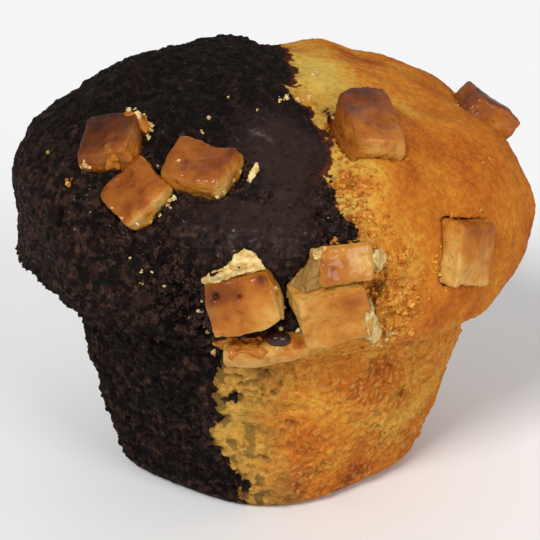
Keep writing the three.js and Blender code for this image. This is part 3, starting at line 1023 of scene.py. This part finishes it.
# %% Flakes
# Each flake: its finish, its slot, its thickness and how far it stands out, both in millimetres,
# and its corners in pixels of the picture
FLAKES = {
    "cream_wedge": (cream, "crumb", 2.4, 0.5, [
        (200, 287), (203, 278), (214, 271), (228, 264), (234, 255), (243, 248), (253, 252),
        (262, 263), (266, 272), (240, 278), (218, 284),
    ]),
    "caramel_wedge": (caramel, "caramel", 2.6, 0.3, [
        (286, 298), (289, 285), (300, 270), (312, 258), (320, 256), (320, 290), (305, 294),
    ]),
    "cream_splinter": (cream, "crumb", 0.7, 0.3, [
        (257, 162), (260, 169), (255, 177), (249, 184), (246, 181), (251, 173),
    ]),
    "cream_fringe": (cream, "crumb", 1.6, 0.6, [
        (367, 322), (367, 312), (369, 303), (372, 305), (371, 314), (376, 320), (380, 327),
        (378, 335), (371, 341), (368, 333),
    ]),
    "cream_crumple": (cream, "crumb", 1.6, 0.6, [
        (372, 256), (380, 250), (386, 256), (383, 264), (377, 270), (374, 263),
    ]),
    "caramel_crumple": (caramel, "caramel", 1.4, 0.4, [
        (122, 113), (134, 113), (146, 117), (151, 126), (147, 135), (140, 128), (136, 119),
        (128, 117),
    ]),
    "caramel_bridge": (caramel, "caramel", 1.6, 0.5, [
        (107, 158), (113, 153), (119, 158), (121, 168), (113, 172), (105, 168),
    ]),
    "caramel_bit": (caramel, "caramel", 1.0, 0.3, [
        (66, 179), (73, 178), (71, 184), (68, 188), (65, 185),
    ]),
    "caramel_shred": (caramel, "caramel", 1.4, 0.9, [
        (216, 343), (228, 338), (246, 339), (262, 335), (264, 341), (246, 345), (228, 344),
        (218, 348),
    ]),
    "caramel_fold": (caramel, "caramel", 1.2, 0.5, [
        (226, 350), (240, 345), (256, 347), (268, 351), (262, 355), (244, 353), (230, 356),
    ]),
}
FLAKE_VOXEL = 0.2 * MM
FLAKE_RELIEF = 0.7 * MM
FLAKE_BROWNED = 0.32
FLAKE_GLAZE = 0.2
# The melted corner is clear, and the other flakes are not
FLAKE_CLEAR = {"caramel_wedge": 0.75}
flake_grain = texture("flake_grain", "CLOUDS", 0.9 * MM, noise_depth=2)


def flake(name, thickness, lift, corners):
    spots = [seen(x, y) for x, y in corners]
    outward = sum((normal for place, normal in spots), Vector()).normalized()
    select_only(crumb)
    bpy.ops.mesh.primitive_circle_add(vertices=len(corners), radius=MM, fill_type="NGON")
    piece = bpy.context.object
    piece.name = name
    for vertex, (place, normal) in zip(piece.data.vertices, spots):
        vertex.co = place + normal * lift * MM
    bpy.ops.object.mode_set(mode="EDIT")
    bpy.ops.mesh.select_all(action="SELECT")
    bpy.ops.mesh.extrude_region_move(TRANSFORM_OT_translate={"value": -outward * thickness * MM})
    bpy.ops.mesh.select_all(action="SELECT")
    bpy.ops.mesh.normals_make_consistent(inside=False)
    bpy.ops.object.mode_set(mode="OBJECT")
    remesh(piece, FLAKE_VOXEL)
    add_modifier(piece, "SMOOTH", factor=0.5, iterations=3)
    displace(piece, flake_grain, FLAKE_RELIEF)
    places = places_of(piece)
    paint(piece, "browned", FLAKE_BROWNED + 0.15 * mottle(places, 1.5 * MM, seed=4))
    paint(piece, "glaze", np.full(len(places), FLAKE_GLAZE))
    paint(piece, "clear", np.full(len(places), FLAKE_CLEAR.get(name, 0.0)))
    return piece


for name, (finish, slot, thickness, lift, corners) in FLAKES.items():
    keep(flake(name, thickness, lift, corners), finish)
print("flakes:", len(FLAKES))

# %% The burnt drop between the front chunks
DROP_PIXEL = (279, 339)
DROP_HALF_SIZES = (1.8, 1.3, 1.2)
DROP_RELIEF = 0.5 * MM

select_only(crumb)
bpy.ops.mesh.primitive_uv_sphere_add(segments=40, ring_count=20, radius=MM)
drop = bpy.context.object
drop.name = "burnt_drop"
drop_place = np.array(seen(*DROP_PIXEL)[0])
move_to(drop, places_of(drop) * DROP_HALF_SIZES + drop_place)
displace(drop, dents, DROP_RELIEF)
bpy.ops.object.shade_smooth()
keep(drop, burnt_drop)
print("burnt drop's place in mm:", np.round(drop_place / MM, 1))

# %% Loose crumbs
# Crumbs that the picture shows one by one: a pixel and a size in millimetres
CREAM_SPOTS = [
    (129, 111, 0.8), (136, 113, 0.9), (142, 117, 0.8), (148, 123, 0.8), (150, 130, 0.7),
    (148, 136, 0.6), (84, 164, 0.8), (89, 167, 0.6), (68, 183, 0.6), (381, 258, 0.9),
    (379, 266, 0.8), (386, 262, 0.6), (390, 334, 0.7), (395, 331, 0.5), (386, 339, 0.5),
    (318, 250, 1.0), (323, 247, 0.6), (201, 312, 0.6), (205, 323, 0.6), (173, 198, 0.8),
    (170, 206, 0.5), (138, 224, 0.5), (315, 75, 0.6), (286, 97, 0.7), (280, 99, 0.5),
    (299, 101, 0.6), (309, 97, 0.5), (214, 352, 0.7), (277, 348, 0.6), (208, 118, 0.4),
    (202, 132, 0.4), (371, 344, 0.5), (378, 345, 0.5), (330, 74, 0.4), (217, 196, 0.5),
    (298, 330, 0.7), (262, 268, 0.5), (276, 288, 0.4), (282, 318, 0.4), (178, 160, 0.4),
    (150, 222, 0.4), (160, 215, 0.4), (168, 205, 0.4), (122, 218, 0.4), (112, 208, 0.3),
    (240, 172, 0.4), (234, 182, 0.5), (224, 192, 0.5), (284, 308, 0.4), (280, 328, 0.5),
    (203, 300, 0.4), (208, 332, 0.4), (158, 166, 0.3), (345, 160, 0.4), (332, 118, 0.4),
    (130, 258, 0.3), (142, 271, 0.35), (142, 283, 0.3), (165, 286, 0.4), (152, 272, 0.25),
    (48, 152, 0.35), (257, 110, 0.25), (228, 97, 0.25), (190, 318, 0.3), (178, 300, 0.3),
]
CREAM_BITS = 5
CRUMB_SEED = 11
TORN_CRUMBS = 1500
RIM_CRUMBS = 700
RIM_REACH = (0.2, 1.6)
# The sizes of the scattered crumbs in millimetres: a gamma draw's shape and scale, and the least size
CRUMB_SIZES = (4.0, 0.07)
LEAST_CRUMB = 0.15
# How far the bits of one spot scatter, and how large each is, as shares of the spot's size
SPOT_SCATTER = 0.35
BIT_SHARES = (0.3, 0.8)
# How far a crumb is stretched along its own three directions, and how dented its corners are
NUGGET_STRETCH = (0.5, 1.2)
NUGGET_DENTS = 0.12

select_only(crumb)
bpy.ops.mesh.primitive_cube_add(size=1)
nugget = bpy.context.object
bpy.ops.object.mode_set(mode="EDIT")
bpy.ops.mesh.select_all(action="SELECT")
bpy.ops.mesh.subdivide(number_cuts=1, smoothness=0.4)
bpy.ops.object.mode_set(mode="OBJECT")
nugget_corners = places_of(nugget)
nugget_faces = np.array([tuple(p.vertices) for p in nugget.data.polygons])
bpy.data.objects.remove(nugget)
draw = np.random.default_rng(CRUMB_SEED)
print("nugget:", len(nugget_corners), "corners,", len(nugget_faces), "faces")


def nuggets(name, places, sizes):
    """Uneven crumbs, half sunk into what they lie on, joined into one mesh."""
    corners = []
    for place, size in zip(places, sizes):
        turn = np.linalg.qr(draw.normal(size=(3, 3)))[0]
        turn *= np.sign(np.linalg.det(turn))
        shape = nugget_corners * draw.uniform(*NUGGET_STRETCH, 3)
        shape += draw.normal(0, NUGGET_DENTS, nugget_corners.shape)
        corners.append(shape @ turn.T * size * MM + place)
    steps = np.arange(len(places))[:, None, None] * len(nugget_corners)
    mesh = bpy.data.meshes.new(name)
    mesh.from_pydata(np.concatenate(corners).tolist(), [], (nugget_faces + steps).reshape(-1, 4).tolist())
    piece = bpy.data.objects.new(name, mesh)
    bpy.context.scene.collection.objects.link(piece)
    return piece


def pick(chance, count):
    """Seeded draws of places on the baked crumb, likelier where the chance is high."""
    return draw.choice(len(chance), size=count, replace=False, p=chance / chance.sum())


by_rim = ((to_chunk > RIM_REACH[0] * MM) & (to_chunk < RIM_REACH[1] * MM)).astype(float)
loose = np.concatenate([pick(torn ** 2 * crown, TORN_CRUMBS), pick(by_rim * (0.3 + crown), RIM_CRUMBS)])
is_dark = right[loose] < 0
for name, finish, chosen in (
    ("dark_crumbs", dark_bit, loose[is_dark]),
    ("gold_crumbs", gold_bit, loose[~is_dark]),
):
    sizes = draw.gamma(*CRUMB_SIZES, len(chosen)) + LEAST_CRUMB
    keep(nuggets(name, baked_places[chosen], sizes), finish)
    print(name, len(chosen))
bits = []
for x, y, size in CREAM_SPOTS:
    reach = size * MM / VIEW_WIDTH * PICTURE_SIDE * SPOT_SCATTER
    for shift_x, shift_y in draw.normal(0, reach, (CREAM_BITS, 2)):
        place = seen(x + shift_x, y + shift_y)[0]
        bits.append((np.array(place), size * draw.uniform(*BIT_SHARES)))
keep(nuggets("cream_crumbs", *zip(*bits)), cream)
print("cream_crumbs", len(bits))

# %% Sizes
low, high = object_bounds()
sizes = {"cad": [list(cad_low), list(cad_high)], "visual": [list(low), list(high)]}
